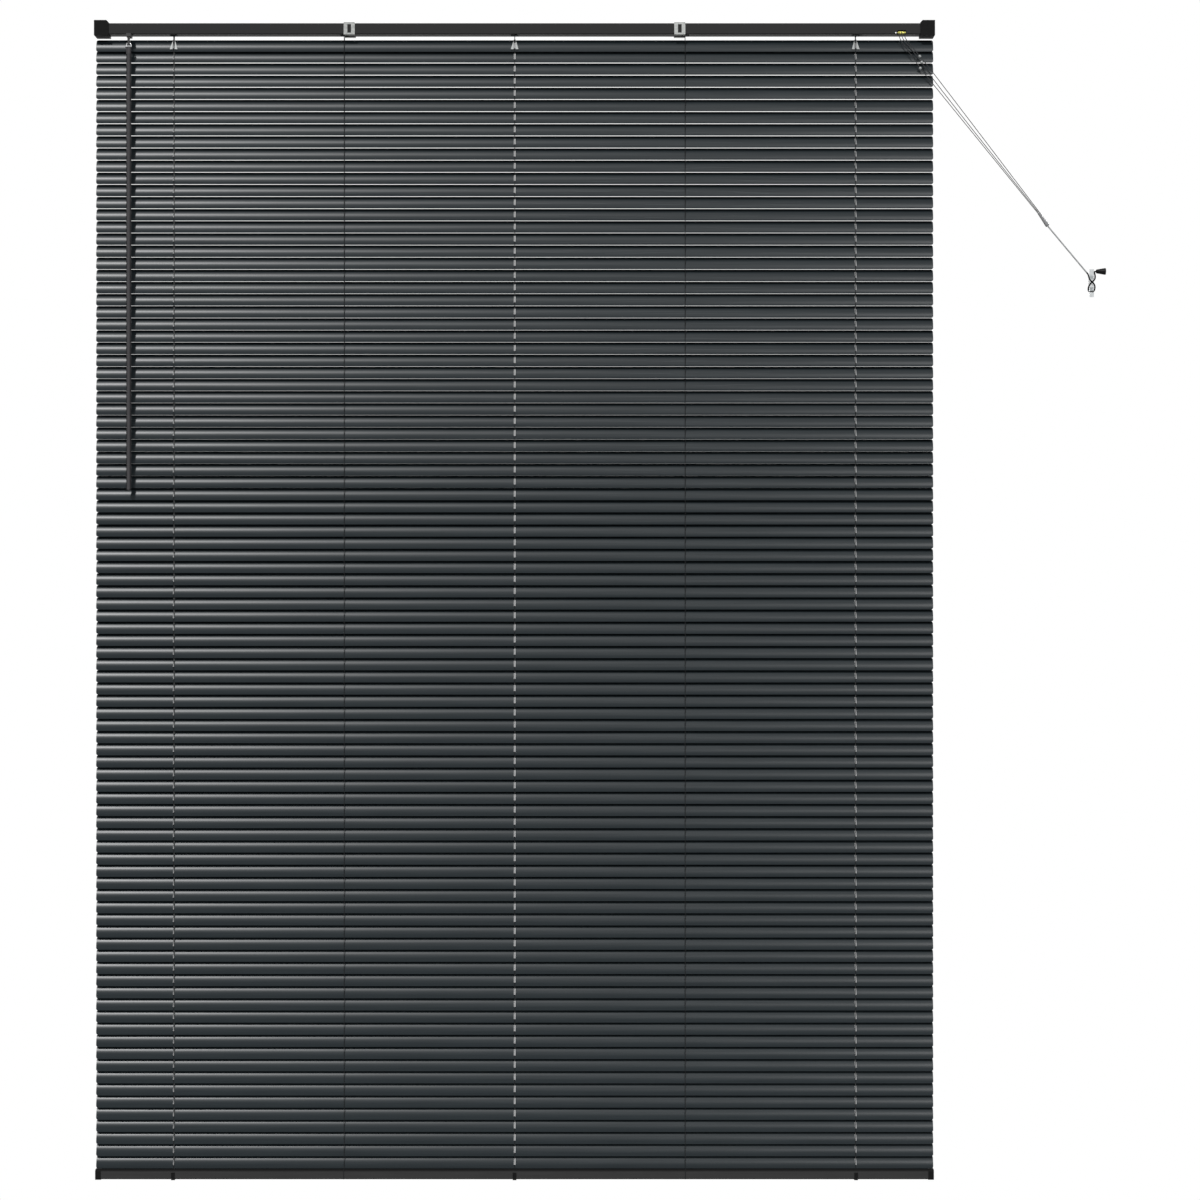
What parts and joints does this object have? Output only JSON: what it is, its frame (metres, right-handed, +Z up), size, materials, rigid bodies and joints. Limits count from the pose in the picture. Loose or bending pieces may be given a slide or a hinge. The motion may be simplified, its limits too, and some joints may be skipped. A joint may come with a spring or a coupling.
{
  "type": "venetian blind",
  "caption": "Corded venetian blind: headrail, slats on string ladders, bottom rail, tilt wand, cord lock and pull cords wound on a wall cleat.",
  "frame": {"origin": "midway between the two wall screw holes of the mounting brackets, on the wall plane", "axes": "+X to the viewer's right along the headrail, +Y into the wall, +Z up"},
  "size_m": [1.9266, 0.0406, 2.2072],
  "materials": {
    "black_enamel": "satin",
    "black_plastic": "matt",
    "zinc_steel": "satin",
    "housing_plastic": "matt",
    "anthracite_slat": "anthracite enamel",
    "black_string": "woven",
    "grey_cord": "woven",
    "black_cord": "woven",
    "grey_plastic": "satin",
    "dark_plastic": "satin",
    "clear_plastic": "gloss",
    "wand_plastic": "gloss",
    "bright_steel": "bright",
    "brass": "satin"
  },
  "bodies": {
    "headrail": {"headrail": "black_enamel", "end_cap_left": "black_plastic", "end_cap_right": "black_plastic", "mounting_bracket_left": "zinc_steel", "mounting_bracket_right": "zinc_steel", "drum_cradle_1": "housing_plastic", "drum_cradle_2": "housing_plastic", "drum_cradle_3": "housing_plastic", "drum_cradle_4": "housing_plastic", "drum_cradle_5": "housing_plastic", "tilter_housing": "housing_plastic", "cord_lock": "housing_plastic", "lock_rivet": "bright_steel", "slats_1": "anthracite_slat", "slats_2": "anthracite_slat", "slats_3": "anthracite_slat", "slats_4": "anthracite_slat", "slats_5": "anthracite_slat", "slats_6": "anthracite_slat", "slats_7": "anthracite_slat", "slats_8": "anthracite_slat", "slat_clips": "grey_plastic", "ladder_1": "black_string", "ladder_2": "black_string", "ladder_3": "black_string", "ladder_4": "black_string", "ladder_5": "black_string", "lift_cord_1": "grey_cord", "lift_cord_2": "grey_cord", "lift_cord_3": "grey_cord", "lift_cord_run_1": "grey_cord", "lift_cord_run_2": "grey_cord", "lift_cord_run_3": "grey_cord", "pull_cord_1": "grey_cord", "pull_cord_2": "grey_cord", "pull_cord_3": "grey_cord", "cord_stops": "grey_plastic", "cord_joiner": "dark_plastic", "pull_cord_lower": "grey_cord", "cleat": "clear_plastic", "cleat_winding": "black_cord", "tassel": "black_plastic"},
    "tilt_shaft": {"tilt_rod": "zinc_steel", "tilt_hub": "housing_plastic", "ladder_drum_1": "housing_plastic", "ladder_drum_2": "housing_plastic", "ladder_drum_3": "housing_plastic", "ladder_drum_4": "housing_plastic", "ladder_drum_5": "housing_plastic"},
    "tilter_stem": {"tilter_stem": "black_plastic"},
    "wand": {"wand_bail": "bright_steel", "wand": "wand_plastic"},
    "bottom_rail": {"bottom_rail": "black_enamel", "bottom_cap_left": "black_plastic", "bottom_cap_right": "black_plastic", "cord_plugs": "black_plastic"},
    "lock_roller": {"lock_roller": "brass"},
    "lock_pawl": {"lock_pawl": "brass"}
  },
  "joints": [
    {"name": "tilt", "type": "hinge", "parent": "headrail", "child": "tilt_shaft", "pos_m": [0, -0.017, 0.0015], "axis": [1, 0, 0], "range_deg": [0, 144]},
    {"name": "stem_turn", "type": "hinge", "parent": "headrail", "child": "tilter_stem", "pos_m": [-0.733, -0.0356, -0.028], "axis": [0, 0, 1], "range_deg": [0, 1440]},
    {"name": "wand_swing", "type": "hinge", "parent": "tilter_stem", "child": "wand", "pos_m": [-0.733, -0.0356, -0.028], "axis": [-1, 0, 0], "range_deg": [0, 60]},
    {"name": "lift", "type": "slide", "parent": "headrail", "child": "bottom_rail", "axis": [0, 0, 1], "range_m": [0, 1.88], "deforming": ["slats_1", "slats_2", "slats_3", "slats_4", "slats_5", "slats_6", "slats_7", "slats_8", "ladder_1", "ladder_2", "ladder_3", "ladder_4", "ladder_5", "lift_cord_1", "lift_cord_2", "lift_cord_3"]},
    {"name": "lock_roller_turn", "type": "hinge", "parent": "headrail", "child": "lock_roller", "pos_m": [0.737, -0.024, -0.0065], "axis": [1, 0, 0], "continuous": true},
    {"name": "lock_release", "type": "hinge", "parent": "headrail", "child": "lock_pawl", "pos_m": [0.737, -0.0225, 0.001], "axis": [-1, 0, 0], "range_deg": [0, 25]}
  ],
  "couplings": [
    {"joint": "stem_turn", "follows": "tilt", "ratio": 10}
  ]
}
